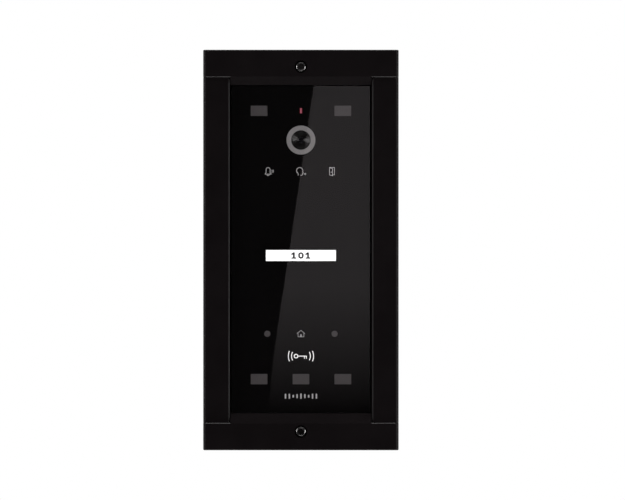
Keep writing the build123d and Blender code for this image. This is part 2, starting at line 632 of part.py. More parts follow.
# ---------------------------------------------------------------- camera
with BuildPart() as camera_bezel:
    with BuildSketch(Plane.XY) as bezel_section:
        with BuildLine():
            Polyline(
                (CAMERA_RING_BORE, 28.9), (CAMERA_RING_BORE + 0.2, PRINT_FRONT), (7.95, PRINT_FRONT),
                (7.95, 26.6), (5.7, 26.6), (CAMERA_RING_BORE, 28.3), (CAMERA_RING_BORE, 28.9),
            )
        make_face()
    revolve(axis=Axis.Y)
camera_bezel_placed = Pos(0, 0, CAMERA_Z) * Rot(180, 0, 0) * camera_bezel.part
camera_bezel_placed.label = "camera_bezel"
export_step(camera_bezel_placed, "parts/camera_bezel.step")

with BuildPart() as lens_barrel:
    with BuildSketch(Plane.XY) as barrel_section:
        with BuildLine():
            Polyline(
                (0, 21.5), (4.3, 21.5), (4.3, 26.0), (5.3, 26.6), (5.3, 28.3), (5.1, 28.3),
                (LENS_RADIUS + 0.05, 26.1), (LENS_RADIUS + 0.05, 22.6), (0, 22.6), (0, 21.5),
            )
        make_face()
    revolve(axis=Axis.Y)
lens_barrel_placed = Pos(0, 0, CAMERA_Z) * Rot(180, 0, 0) * lens_barrel.part
lens_barrel_placed.label = "lens_barrel"
export_step(lens_barrel_placed, "parts/lens_barrel.step")

with BuildPart() as front_lens:
    with BuildSketch(Plane.XY) as lens_section:
        with BuildLine():
            Polyline((0, 26.7), (0, 24.6), (LENS_RADIUS, 24.6), (LENS_RADIUS, 26.2))
            TangentArc((0, 26.7), (LENS_RADIUS, 26.2), tangent=(1, 0))
        make_face()
    revolve(axis=Axis.Y)
front_lens_placed = Pos(0, 0, CAMERA_Z) * Rot(180, 0, 0) * front_lens.part
front_lens_placed.label = "front_lens"
export_step(front_lens_placed, "parts/front_lens.step")

CAMERA_BOARD_BACK = 18.2
CAMERA_BOARD_FRONT = 19.2
with BuildPart() as lens_holder:
    add(slab(CAMERA_BOARD_FRONT, 22.5, 14.0, 14.0, CAMERA_SPOT, radius=1.0))
    add(disc(22.0, 25.4, 6.2, CAMERA_SPOT))
    add(disc(21.3, 25.6, 4.33, CAMERA_SPOT), mode=Mode.SUBTRACT)
    add(slab(CAMERA_BOARD_FRONT, 21.3, 8.4, 8.4, CAMERA_SPOT), mode=Mode.SUBTRACT)
lens_holder.part.label = "lens_holder"
export_step(lens_holder.part, "parts/lens_holder.step")

with BuildPart() as camera_board:
    add(slab(CAMERA_BOARD_BACK, CAMERA_BOARD_FRONT, 21.0, 21.0, CAMERA_SPOT, radius=1.0))
camera_board.part.label = "camera_board"
export_step(camera_board.part, "parts/camera_board.step")

with BuildPart() as image_sensor:
    add(slab(CAMERA_BOARD_FRONT, 20.4, 7.4, 7.4, CAMERA_SPOT))
image_sensor.part.label = "image_sensor"
export_step(image_sensor.part, "parts/image_sensor.step")

# ---------------------------------------------------------------- boards and what they carry
with BuildPart() as upper_light_board:
    add(slab(FRONT_BOARD_BACK, FRONT_BOARD_FRONT, 57.0, 46.5, [(0, 62.75)], radius=1.0))
    add(slab(FRONT_BOARD_BACK, FRONT_BOARD_FRONT, 18.0, 18.0, CAMERA_SPOT, radius=1.0), mode=Mode.SUBTRACT)
upper_light_board.part.label = "upper_light_board"
export_step(upper_light_board.part, "parts/upper_light_board.step")

LOWER_BOARD_Z = -60.75
with BuildPart() as lower_reader_board:
    add(slab(FRONT_BOARD_BACK, FRONT_BOARD_FRONT, 57.0, 50.5, [(0, LOWER_BOARD_Z)], radius=1.0))
lower_reader_board.part.label = "lower_reader_board"
export_step(lower_reader_board.part, "parts/lower_reader_board.step")

with BuildPart() as reader_coil:
    for turn in range(3):
        with BuildSketch(facing_front(FRONT_BOARD_FRONT)):
            with Locations((0, LOWER_BOARD_Z)):
                inset = 2.0 * turn
                RectangleRounded(56.0 - inset, 49.5 - inset, 2.5)
                RectangleRounded(55.0 - inset, 48.5 - inset, 2.1, mode=Mode.SUBTRACT)
        extrude(amount=0.15)
reader_coil.part.label = "reader_coil"
export_step(reader_coil.part, "parts/reader_coil.step")

with BuildPart() as front_leds:
    add(slab(FRONT_BOARD_FRONT, 25.4, 3.5, 2.8, WINDOW_SPOTS))
    small_spots = ICON_SPOTS + [(0, STATUS_Z), (0, HOUSE_Z), (-4, READER_Z), (4, READER_Z)]
    add(slab(FRONT_BOARD_FRONT, 24.4, 1.6, 0.9, small_spots))
front_leds.part.label = "front_leds"
export_step(front_leds.part, "parts/front_leds.step")

with BuildPart() as optical_sensors:
    add(slab(FRONT_BOARD_FRONT, 25.0, 2.4, 2.4, SENSOR_SPOTS))
    add(slab(14.9, MAIN_BOARD_BACK, 3.2, 2.4, TAMPER_SPOT))
optical_sensors.part.label = "optical_sensors"
export_step(optical_sensors.part, "parts/optical_sensors.step")

with BuildPart() as board_headers:
    add(slab(MAIN_BOARD_FRONT, FRONT_BOARD_BACK, 20.0, 2.6, [(-12, 76.5), (-12, -76.5)]))
board_headers.part.label = "board_headers"
export_step(board_headers.part, "parts/board_headers.step")

with BuildPart() as main_board:
    add(slab(MAIN_BOARD_BACK, MAIN_BOARD_FRONT, 61.0, 160.0, radius=1.5))
    add(disc(MAIN_BOARD_BACK, MAIN_BOARD_FRONT, 10.5, [(0, SPEAKER_Z)]), mode=Mode.SUBTRACT)
main_board.part.label = "main_board"
export_step(main_board.part, "parts/main_board.step")

with BuildPart() as processor_chips:
    add(slab(MAIN_BOARD_FRONT, 18.8, 14.0, 14.0, [(18, -20)]))
    add(slab(MAIN_BOARD_FRONT, 18.6, 8.0, 6.0, [(-18, -62), (18, -62), (16, 41)]))
    add(slab(MAIN_BOARD_FRONT, 18.6, 5.0, 4.0, [(-17, 42), (4, -36)]))
processor_chips.part.label = "processor_chips"
export_step(processor_chips.part, "parts/processor_chips.step")

with BuildPart() as lock_relay:
    add(slab(MAIN_BOARD_FRONT, 25.6, 19.0, 10.4, [(-17, -22)], radius=0.6))
    chamfer(lock_relay.faces().sort_by(Axis.Y)[0].edges(), 0.5)
lock_relay.part.label = "lock_relay"
export_step(lock_relay.part, "parts/lock_relay.step")

CAPACITOR_SPOTS = [(2, -15), (2, -25), (24, 43)]
with BuildPart() as filter_capacitors:
    add(disc(MAIN_BOARD_FRONT, 21.6, 3.9, CAPACITOR_SPOTS))
    fillet(filter_capacitors.faces().sort_by(Axis.Y)[0:3].edges(), 0.5)
filter_capacitors.part.label = "filter_capacitors"
export_step(filter_capacitors.part, "parts/filter_capacitors.step")

# ---------------------------------------------------------------- loudspeaker and microphone
with BuildPart() as loudspeaker_frame:
    add(disc(24.6, HOUSING_INSIDE, SPEAKER_RADIUS, SPEAKER_SPOT, bore=14.5))
    add(disc(20.6, 24.6, 14.9, SPEAKER_SPOT, bore=13.9))
    add(disc(19.9, 20.6, 14.9, SPEAKER_SPOT, bore=4.6))
    with BuildSketch(facing_front(19.5)):
        with Locations((0, SPEAKER_Z)):
            with PolarLocations(11.2, 6):
                Circle(1.9)
    extrude(amount=1.5, mode=Mode.SUBTRACT)
loudspeaker_frame.part.label = "loudspeaker_frame"
export_step(loudspeaker_frame.part, "parts/loudspeaker_frame.step")

with BuildPart() as loudspeaker_cone:
    with BuildSketch(Plane.XY) as cone_section:
        with BuildLine():
            Line((4.4, 20.9), (11.0, 24.4))
            ThreePointArc((11.0, 24.4), (12.6, 25.4), (14.3, 24.6))
            Line((14.3, 24.6), (14.3, 24.9))
            ThreePointArc((14.3, 24.9), (12.6, 25.75), (10.8, 24.7))
            Line((10.8, 24.7), (5.0, 21.6))
            TangentArc((0, 23.5), (5.0, 21.6), tangent=(1, 0))
            Line((0, 23.5), (0, 23.1))
            TangentArc((0, 23.1), (4.4, 20.9), tangent=(1, 0))
        make_face()
    revolve(axis=Axis.Y)
loudspeaker_cone_placed = Pos(0, 0, SPEAKER_Z) * Rot(180, 0, 0) * loudspeaker_cone.part
loudspeaker_cone_placed.label = "loudspeaker_cone"
export_step(loudspeaker_cone_placed, "parts/loudspeaker_cone.step")

with BuildPart() as loudspeaker_magnet:
    add(disc(15.2, 19.9, 9.0, SPEAKER_SPOT))
    add(disc(19.9, 20.8, 3.8, SPEAKER_SPOT))
loudspeaker_magnet.part.label = "loudspeaker_magnet"
export_step(loudspeaker_magnet.part, "parts/loudspeaker_magnet.step")

with BuildPart() as microphone_boot:
    with Locations(Location((-33.6, -22.0, MICROPHONE_Z), (0, 90, 0))):
        Cylinder(3.9, 5.4)
        Cylinder(3.0, 3.6, align=(Align.CENTER, Align.CENTER, Align.MIN), mode=Mode.SUBTRACT)
        Cylinder(0.8, 6.0, mode=Mode.SUBTRACT)
microphone_boot.part.label = "microphone_boot"
export_step(microphone_boot.part, "parts/microphone_boot.step")

with BuildPart() as microphone:
    with Locations(Location((-33.55, -22.0, MICROPHONE_Z), (0, 90, 0))):
        Cylinder(2.97, 2.6, align=(Align.CENTER, Align.CENTER, Align.MIN))
microphone.part.label = "microphone"
export_step(microphone.part, "parts/microphone.step")

# ---------------------------------------------------------------- terminals and settings, at the back
TERMINAL_BACK = 7.0
TERMINAL_XS = [(i - (TERMINAL_COUNT - 1) / 2) * TERMINAL_PITCH for i in range(TERMINAL_COUNT)]
with BuildPart() as terminal_block:
    add(slab(TERMINAL_BACK, MAIN_BOARD_BACK, terminal_width, 8.6, [(0, TERMINAL_Z)], radius=0.4))
    screw_spots = [(x, TERMINAL_Z + 1.2) for x in TERMINAL_XS]
    add(disc(TERMINAL_BACK, TERMINAL_BACK + 5.0, 1.9, screw_spots), mode=Mode.SUBTRACT)
    for terminal_x in TERMINAL_XS:
        with Locations((terminal_x, -TERMINAL_BACK - 6.2, TERMINAL_Z - 2.6)):
            Box(3.4, 3.4, 4.0, mode=Mode.SUBTRACT)
terminal_block.part.label = "terminal_block"
export_step(terminal_block.part, "parts/terminal_block.step")

with BuildPart() as terminal_screws:
    for screw_x, screw_z in screw_spots:
        with Locations(Location((screw_x, -TERMINAL_BACK - 1.6, screw_z), (-90, 0, 0))):
            add(machine_screw(1.8, 1.0, 1.3, 2.2))
terminal_screws.part.label = "terminal_screws"
export_step(terminal_screws.part, "parts/terminal_screws.step")

TRIMMER_BACK = 12.2
with BuildPart() as trimmer_bodies:
    add(slab(TRIMMER_BACK, MAIN_BOARD_BACK, 6.4, 6.4, TRIMMER_SPOTS, radius=0.4))
    add(disc(TRIMMER_BACK, TRIMMER_BACK + 2.2, 2.1, TRIMMER_SPOTS), mode=Mode.SUBTRACT)
trimmer_bodies.part.label = "trimmer_bodies"
export_step(trimmer_bodies.part, "parts/trimmer_bodies.step")


def trimmer_rotor(x):
    """A round rotor with a cross slot and a pointer notch, in the trimmer body's bore."""
    spot = [(x, TRIMMER_Z)]
    with BuildPart() as rotor:
        add(disc(TRIMMER_BACK - 0.5, TRIMMER_BACK + 2.1, 2.05, spot))
        slot_front = TRIMMER_BACK + 0.4
        add(slab(TRIMMER_BACK - 0.5, slot_front, 2.8, 0.6, spot), mode=Mode.SUBTRACT)
        pointer_spot = [(x, TRIMMER_Z + 0.5)]
        add(slab(TRIMMER_BACK - 0.5, slot_front, 0.6, 1.6, pointer_spot), mode=Mode.SUBTRACT)
    return rotor.part


with BuildPart() as speaker_trimmer:
    add(trimmer_rotor(-TRIMMER_X))
speaker_trimmer.part.label = "speaker_trimmer"
export_step(speaker_trimmer.part, "parts/speaker_trimmer.step")

with BuildPart() as microphone_trimmer:
    add(trimmer_rotor(TRIMMER_X))
microphone_trimmer.part.label = "microphone_trimmer"
export_step(microphone_trimmer.part, "parts/microphone_trimmer.step")

with BuildPart() as program_switch:
    add(slab(12.6, MAIN_BOARD_BACK, 6.0, 6.0, BUTTON_SPOT, radius=0.4))
    add(disc(12.6, 14.6, 1.8, BUTTON_SPOT), mode=Mode.SUBTRACT)
program_switch.part.label = "program_switch"
export_step(program_switch.part, "parts/program_switch.step")

with BuildPart() as program_button:
    add(disc(11.2, 14.2, 1.7, BUTTON_SPOT))
    chamfer(program_button.faces().sort_by(Axis.Y)[-1].edges(), 0.2)
program_button.part.label = "program_button"
export_step(program_button.part, "parts/program_button.step")

# ---------------------------------------------------------------- call key
KEY_FRONT = GLASS_FRONT + 0.2
CARD_BACK = 30.0
CARD_FRONT = 30.2
CARRIER_BACK = 21.5
with BuildPart() as call_key_cap:
    add(slab(CARD_FRONT, KEY_FRONT, KEY_WIDTH, KEY_HEIGHT, KEY_SPOT, radius=0.3))
    chamfer(call_key_cap.faces().sort_by(Axis.Y)[0].edges(), 0.2)
    add(slab(CARD_FRONT, CARD_FRONT + 0.12, 12.0, 4.4, KEY_SPOT), mode=Mode.SUBTRACT)
call_key_cap.part.label = "call_key_cap"
export_step(call_key_cap.part, "parts/call_key_cap.step")

with BuildPart() as name_card:
    add(slab(CARD_BACK, CARD_FRONT, KEY_WIDTH, KEY_HEIGHT, KEY_SPOT, radius=0.2))
name_card.part.label = "name_card"
export_step(name_card.part, "parts/name_card.step")

with BuildPart() as card_digits:
    extrude(place_symbol(flat_number_sketch(), CARD_FRONT, 0, KEY_Z), amount=0.08, dir=(0, -1, 0))
card_digits.part.label = "card_digits"
export_step(card_digits.part, "parts/card_digits.step")

with BuildPart() as key_carrier:
    add(slab(CARRIER_BACK, CARD_BACK, KEY_WIDTH, KEY_HEIGHT, KEY_SPOT, radius=0.3))
    add(slab(24.6, 26.1, KEY_WIDTH + 3.0, KEY_HEIGHT + 2.6, KEY_SPOT, radius=0.5))
    add(slab(CARRIER_BACK, 28.6, 22.0, KEY_HEIGHT - 2.4, KEY_SPOT), mode=Mode.SUBTRACT)
key_carrier.part.label = "key_carrier"
export_step(key_carrier.part, "parts/key_carrier.step")

DOME_SPOTS = [(-15.0, KEY_Z), (15.0, KEY_Z)]
with BuildPart() as key_pad:
    add(slab(MAIN_BOARD_FRONT, MAIN_BOARD_FRONT + 0.8, 37.0, 6.4, KEY_SPOT, radius=1.0))
    for dome_x, dome_z in DOME_SPOTS:
        with BuildSketch(facing_front(MAIN_BOARD_FRONT + 0.8)):
            with Locations((dome_x, dome_z)):
                Circle(2.9)
        with BuildSketch(facing_front(CARRIER_BACK - 0.05)):
            with Locations((dome_x, dome_z)):
                Circle(1.7)
        loft()
key_pad.part.label = "key_pad"
export_step(key_pad.part, "parts/key_pad.step")

# ---------------------------------------------------------------- front screws
SEAL_BACK = 31.2
SEAL_FRONT = 31.8


def front_screw(z):
    """A button-head security screw: round head, six-lobe socket with a pin."""
    spot = [(0, z)]
    head_front = PANEL_DEPTH - 0.1
    with BuildPart() as screw:
        add(disc(SEAL_FRONT, head_front, FRONT_SCREW_HEAD_RADIUS, spot))
        fillet(screw.faces().sort_by(Axis.Y)[0].edges(), 1.2)
        add(disc(FRONT_SCREW_TIP_DEPTH, SEAL_FRONT, FRONT_SCREW_SHANK_RADIUS, spot))
        chamfer(screw.faces().sort_by(Axis.Y)[-1].edges(), 0.5)
        with BuildSketch(facing_front(head_front - 1.4)):
            with Locations((0, z)):
                Circle(1.35)
                with PolarLocations(1.3, 6):
                    Circle(0.4)
                Circle(0.48, mode=Mode.SUBTRACT)
        extrude(amount=1.5, mode=Mode.SUBTRACT)
    return screw.part


def seal_washer(z):
    """The rubber washer under a front screw's head."""
    return disc(SEAL_BACK, SEAL_FRONT, 3.1, [(0, z)], bore=FRONT_SCREW_SHANK_RADIUS + 0.05)


with BuildPart() as upper_front_screw:
    add(front_screw(UPPER_SCREW_Z))
upper_front_screw.part.label = "upper_front_screw"
export_step(upper_front_screw.part, "parts/upper_front_screw.step")

with BuildPart() as lower_front_screw:
    add(front_screw(LOWER_SCREW_Z))
lower_front_screw.part.label = "lower_front_screw"
export_step(lower_front_screw.part, "parts/lower_front_screw.step")

with BuildPart() as upper_seal_washer:
    add(seal_washer(UPPER_SCREW_Z))
upper_seal_washer.part.label = "upper_seal_washer"
export_step(upper_seal_washer.part, "parts/upper_seal_washer.step")

with BuildPart() as lower_seal_washer:
    add(seal_washer(LOWER_SCREW_Z))
lower_seal_washer.part.label = "lower_seal_washer"
export_step(lower_seal_washer.part, "parts/lower_seal_washer.step")
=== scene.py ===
import json
import math

import bmesh
import bpy
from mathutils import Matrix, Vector


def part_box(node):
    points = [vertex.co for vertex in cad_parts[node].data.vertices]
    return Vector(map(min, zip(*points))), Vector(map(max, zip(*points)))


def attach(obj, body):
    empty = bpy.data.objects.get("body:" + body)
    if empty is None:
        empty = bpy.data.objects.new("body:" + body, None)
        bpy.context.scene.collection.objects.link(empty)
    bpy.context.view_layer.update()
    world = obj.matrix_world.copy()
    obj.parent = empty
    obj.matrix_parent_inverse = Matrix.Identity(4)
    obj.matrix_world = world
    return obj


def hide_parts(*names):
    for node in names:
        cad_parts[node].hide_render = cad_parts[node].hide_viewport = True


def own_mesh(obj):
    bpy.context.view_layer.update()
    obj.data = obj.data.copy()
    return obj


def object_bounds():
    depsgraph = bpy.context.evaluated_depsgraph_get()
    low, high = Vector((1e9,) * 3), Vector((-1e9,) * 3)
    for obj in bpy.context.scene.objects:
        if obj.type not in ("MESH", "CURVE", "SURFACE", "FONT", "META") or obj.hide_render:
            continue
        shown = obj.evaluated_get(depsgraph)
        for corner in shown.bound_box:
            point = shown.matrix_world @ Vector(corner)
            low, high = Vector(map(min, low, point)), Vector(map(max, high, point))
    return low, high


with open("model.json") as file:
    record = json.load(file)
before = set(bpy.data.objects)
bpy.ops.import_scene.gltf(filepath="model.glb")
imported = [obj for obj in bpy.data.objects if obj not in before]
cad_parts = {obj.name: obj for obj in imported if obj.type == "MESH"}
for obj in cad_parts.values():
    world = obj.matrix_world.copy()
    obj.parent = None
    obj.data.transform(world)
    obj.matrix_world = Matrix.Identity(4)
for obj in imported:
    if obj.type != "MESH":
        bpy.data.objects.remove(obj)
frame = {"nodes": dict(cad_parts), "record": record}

cad_lo, cad_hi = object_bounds()
nodes = frame["nodes"]
scene = bpy.context.scene

# ------------------------------------------------------------------ places, from the frame
glass_lo, glass_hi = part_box("front_glass")
GLASS_FRONT_Y = glass_lo.y
PANEL_FRONT_Y = cad_lo.y


def middle(node):
    """The middle of a node's box."""
    low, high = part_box(node)
    return (low + high) / 2


# ------------------------------------------------------------------ node helpers
MM_PER_METRE = 1000


def first_node(tree, kind):
    """The tree's first node of this type."""
    return next(n for n in tree.nodes if n.type == kind)


def material(name):
    """A new material with one Principled shader. Returns it with its tree and that shader."""
    mat = bpy.data.materials.new(name)
    mat.use_nodes = True
    tree = mat.node_tree
    return mat, tree, first_node(tree, "BSDF_PRINCIPLED")


def link(tree, source, target):
    tree.links.new(source, target)


def object_coordinates(tree, stretch=(1, 1, 1)):
    """The place on the piece in metres, which moves with it."""
    place = tree.nodes.new("ShaderNodeTexCoord")
    scale = tree.nodes.new("ShaderNodeMapping")
    scale.inputs["Scale"].default_value = stretch
    link(tree, place.outputs["Object"], scale.inputs["Vector"])
    return scale.outputs["Vector"]


def along(tree, axis, source="Object"):
    """One axis of the place on the piece in metres, or of the normal there."""
    place = tree.nodes.new("ShaderNodeTexCoord")
    parts = tree.nodes.new("ShaderNodeSeparateXYZ")
    link(tree, place.outputs[source], parts.inputs["Vector"])
    return parts.outputs[axis]


def noise(tree, size_mm, detail=3.0, roughness=0.55, stretch=(1, 1, 1)):
    """Noise whose features are about size_mm across, from 0 to 1."""
    texture = tree.nodes.new("ShaderNodeTexNoise")
    texture.inputs["Scale"].default_value = MM_PER_METRE / size_mm
    texture.inputs["Detail"].default_value = detail
    texture.inputs["Roughness"].default_value = roughness
    link(tree, object_coordinates(tree, stretch), texture.inputs["Vector"])
    return texture.outputs["Fac"]


def cells(tree, size_mm):
    """Voronoi cells about size_mm across, as the distance from their centres."""
    texture = tree.nodes.new("ShaderNodeTexVoronoi")
    texture.feature = "F1"
    texture.inputs["Scale"].default_value = MM_PER_METRE / size_mm
    link(tree, object_coordinates(tree), texture.inputs["Vector"])
    return texture.outputs["Distance"]


def between(tree, value, low, high, start=0.3, end=0.7):
    """A number that runs from low to high as value runs from start to end."""
    ramp = tree.nodes.new("ShaderNodeMapRange")
    ramp.inputs["From Min"].default_value = start
    ramp.inputs["From Max"].default_value = end
    ramp.inputs["To Min"].default_value = low
    ramp.inputs["To Max"].default_value = high
    link(tree, value, ramp.inputs["Value"])
    return ramp.outputs["Result"]


def shade(tree, value, dark, light, start=0.3, end=0.7):
    """A colour that runs from dark to light as value runs from start to end."""
    ramp = tree.nodes.new("ShaderNodeValToRGB")
    ramp.color_ramp.elements[0].position = start
    ramp.color_ramp.elements[0].color = (*dark, 1)
    ramp.color_ramp.elements[1].position = end
    ramp.color_ramp.elements[1].color = (*light, 1)
    link(tree, value, ramp.inputs["Fac"])
    return ramp.outputs["Color"]


def calculated(tree, operation, *numbers):
    """What a Math node makes of these numbers."""
    step = tree.nodes.new("ShaderNodeMath")
    step.operation = operation
    for number, socket in zip(numbers, step.inputs):
        link(tree, number, socket)
    return step.outputs["Value"]


def mixed(tree, share, first, second):
    """Two shaders mixed: the first where share is 0, the second where it is 1."""
    mix = tree.nodes.new("ShaderNodeMixShader")
    link(tree, share, mix.inputs["Fac"])
    link(tree, first, mix.inputs[1])
    link(tree, second, mix.inputs[2])
    return mix.outputs["Shader"]


def bump(tree, shader, height, depth_mm, strength=1.0):
    """Feeds the shader's normal from a height from 0 to 1, depth_mm deep."""
    relief = tree.nodes.new("ShaderNodeBump")
    relief.inputs["Strength"].default_value = strength
    relief.inputs["Distance"].default_value = depth_mm / MM_PER_METRE
    link(tree, height, relief.inputs["Height"])
    link(tree, relief.outputs["Normal"], shader.inputs["Normal"])


def light_up(tree, shader, glow, strength, roughness):
    """Makes the shader show and give off the same glow."""
    link(tree, glow, shader.inputs["Base Color"])
    link(tree, glow, shader.inputs["Emission Color"])
    shader.inputs["Emission Strength"].default_value = strength
    shader.inputs["Roughness"].default_value = roughness


def scaled(colour, factor):
    return tuple(c * factor for c in colour)


def around(value, share):
    """The two numbers this share below and above a value."""
    return value * (1 - share), value * (1 + share)


# ------------------------------------------------------------------ materials
ROUGHNESS_SPREAD = 0.1  # of a plain finish, as a share of its roughness
GRAINS_PER_DRIFT = 25  # how many grains wide the drifts in a plain finish's colour are
SMEAR_SPREAD = 0.4  # of a pane's roughness, as a share of it
GLASS_IOR = 1.5
GLOW_UNEVENNESS = 0.12  # of what is lit from behind
GLOW_SPECULAR = 0.1
GROOVES_PER_METRE = 9000
# a screw has painted shade inside its socket, standing for the socket's shadow, and that fades
# out at the socket's edge
SOCKET_RADIUS = 0.0017
SOCKET_SHADE_FADE_START = SOCKET_RADIUS * 0.95
SOCKET_SHADE_FADE_END = SOCKET_RADIUS * 1.2
# the painted shade also fades out towards the back of the head, so that the shank is bright
SCREW_HEAD_HEIGHT = 0.0021
HEAD_FADE_START = 0.0002
HEAD_FADE_END = 0.0001


def grained(name, colour, roughness, grain_mm, relief_mm, variation=0.12, metallic=0.0):
    """A plain finish: roughness and relief vary with the grain, and colour over wider drifts."""
    mat, tree, shader = material(name)
    grain = noise(tree, grain_mm)
    drift = noise(tree, grain_mm * GRAINS_PER_DRIFT, detail=2)
    tone = shade(tree, drift, scaled(colour, 1 - variation), scaled(colour, 1 + variation))
    gloss = between(tree, grain, *around(roughness, ROUGHNESS_SPREAD))
    link(tree, tone, shader.inputs["Base Color"])
    link(tree, gloss, shader.inputs["Roughness"])
    shader.inputs["Metallic"].default_value = metallic
    bump(tree, shader, grain, relief_mm)
    return mat


def powder_coat():
    """Matt black powder coat: a fine orange-peel over aluminium."""
    mat, tree, shader = material("powder_coat")
    peel = noise(tree, size_mm=0.55, detail=4, roughness=0.6)
    drift = noise(tree, size_mm=18, detail=2)
    tone = shade(tree, drift, dark=(0.0052, 0.0033, 0.0039), light=(0.0076, 0.0052, 0.0059))
    link(tree, tone, shader.inputs["Base Color"])
    link(tree, between(tree, peel, low=0.36, high=0.46), shader.inputs["Roughness"])
    shader.inputs["Specular IOR Level"].default_value = 0.2
    bump(tree, shader, peel, depth_mm=0.012, strength=0.5)
    return mat


def pane_glass(name, tint, gloss_roughness):
    """A thin clear pane: it shows what lies behind it and mirrors as glass does."""
    mat, tree, shader = material(name)
    shader.inputs["Base Color"].default_value = (1, 1, 1, 1)
    shader.inputs["Metallic"].default_value = 1.0
    smears = noise(tree, size_mm=14, detail=2)
    gloss = between(tree, smears, *around(gloss_roughness, SMEAR_SPREAD))
    link(tree, gloss, shader.inputs["Roughness"])
    clear = tree.nodes.new("ShaderNodeBsdfTransparent")
    clear.inputs["Color"].default_value = (*tint, 1)
    mirror_share = tree.nodes.new("ShaderNodeFresnel")
    mirror_share.inputs["IOR"].default_value = GLASS_IOR
    outer_face = mixed(tree, mirror_share.outputs["Fac"], clear.outputs["BSDF"],
                       shader.outputs["BSDF"])
    # the far faces, seen from inside, mirror nothing, because the print is bonded to them
    side = tree.nodes.new("ShaderNodeNewGeometry")
    faces = mixed(tree, side.outputs["Backfacing"], outer_face, clear.outputs["BSDF"])
    # the ground edges, which face sideways, are painted black
    paint = tree.nodes.new("ShaderNodeBsdfDiffuse")
    tone = shade(tree, smears, dark=(0.002, 0.002, 0.002), light=(0.004, 0.004, 0.004))
    link(tree, tone, paint.inputs["Color"])
    facing_ahead = calculated(tree, "ABSOLUTE", along(tree, "Y", source="Normal"))
    face_share = between(tree, facing_ahead, low=0, high=1, start=0.4, end=0.6)
    edged = mixed(tree, face_share, paint.outputs["BSDF"], faces)
    link(tree, edged, first_node(tree, "OUTPUT_MATERIAL").inputs["Surface"])
    return mat


def black_ink():
    """The opaque black print behind the glass."""
    mat, tree, shader = material("black_ink")
    mottle = noise(tree, size_mm=3.0)
    tone = shade(tree, mottle, dark=(0.002, 0.0016, 0.0018), light=(0.0028, 0.0022, 0.0024))
    link(tree, tone, shader.inputs["Base Color"])
    link(tree, between(tree, mottle, low=0.65, high=0.8), shader.inputs["Roughness"])
    shader.inputs["Specular IOR Level"].default_value = 0.05
    return mat


def backlit(name, colour, strength):
    """Translucent print or plastic lit from behind, a little unevenly."""
    mat, tree, shader = material(name)
    patches = noise(tree, size_mm=2.5, detail=2)
    glow = shade(tree, patches, scaled(colour, 1 - GLOW_UNEVENNESS), colour)
    light_up(tree, shader, glow, strength, roughness=0.6)
    shader.inputs["Specular IOR Level"].default_value = GLOW_SPECULAR
    return mat


def light_pipe(name, node, core, rim, strength):
    """A lamp's window, brightest along the middle of its width."""
    mat, tree, shader = material(name)
    low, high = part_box(node)
    centre_x = (low.x + high.x) / 2
    across = along(tree, "X")
    left_half = between(tree, across, low=1, high=0, start=low.x, end=centre_x)
    right_half = between(tree, across, low=0, high=1, start=centre_x, end=high.x)
    aside = calculated(tree, "ADD", left_half, right_half)
    glow = shade(tree, aside, core, rim, start=0.25, end=0.7)
    light_up(tree, shader, glow, strength, roughness=0.5)
    shader.inputs["Specular IOR Level"].default_value = GLOW_SPECULAR
    return mat


def smoked_plastic():
    """Grey infrared-clear windows with a fine diffusing grain."""
    mat, tree, shader = material("smoked_plastic")
    grain = noise(tree, size_mm=0.35, detail=3)
    tone = shade(tree, grain, dark=(0.118, 0.109, 0.112), light=(0.146, 0.135, 0.138))
    link(tree, tone, shader.inputs["Base Color"])
    link(tree, between(tree, grain, low=0.28, high=0.38), shader.inputs["Roughness"])
    bump(tree, shader, grain, depth_mm=0.006)
    return mat


def name_card_paper():
    """White card stock, lit from behind by the key's lamps."""
    mat, tree, shader = material("name_card_paper")
    fibres = noise(tree, size_mm=0.5, detail=6, roughness=0.7, stretch=(0.35, 1, 1))
    glow = shade(tree, fibres, dark=(0.93, 0.93, 0.93), light=(1, 1, 1))
    light_up(tree, shader, glow, strength=1.05, roughness=0.9)
    bump(tree, shader, fibres, depth_mm=0.01)
    return mat


def radius_from(tree, centre):
    """The distance in metres from an axis along Y through the centre."""
    place = tree.nodes.new("ShaderNodeTexCoord")
    shift = tree.nodes.new("ShaderNodeVectorMath")
    shift.operation = "SUBTRACT"
    shift.inputs[1].default_value = centre
    link(tree, place.outputs["Object"], shift.inputs[0])
    flat = tree.nodes.new("ShaderNodeVectorMath")
    flat.operation = "MULTIPLY"
    flat.inputs[1].default_value = (1, 0, 1)
    link(tree, shift.outputs["Vector"], flat.inputs[0])
    radius = tree.nodes.new("ShaderNodeVectorMath")
    radius.operation = "LENGTH"
    link(tree, flat.outputs["Vector"], radius.inputs[0])
    return radius.outputs["Value"]


def turning_marks(tree, centre):
    """Fine rings round the centre, from 0 to 1, as a lathe leaves."""
    grooves = tree.nodes.new("ShaderNodeTexNoise")
    grooves.noise_dimensions = "1D"
    grooves.inputs["Scale"].default_value = GROOVES_PER_METRE
    link(tree, radius_from(tree, centre), grooves.inputs["W"])
    return grooves.outputs["Fac"]


def turned_black(centre):
    """Black anodised metal turned on a lathe about an axis along Y."""
    mat, tree, shader = material("turned_black")
    grooves = turning_marks(tree, centre)
    tone = shade(tree, grooves, dark=(0.006, 0.0055, 0.0055), light=(0.011, 0.01, 0.0105))
    link(tree, tone, shader.inputs["Base Color"])
    link(tree, between(tree, grooves, low=0.22, high=0.32), shader.inputs["Roughness"])
    bump(tree, shader, grooves, depth_mm=0.004)
    return mat


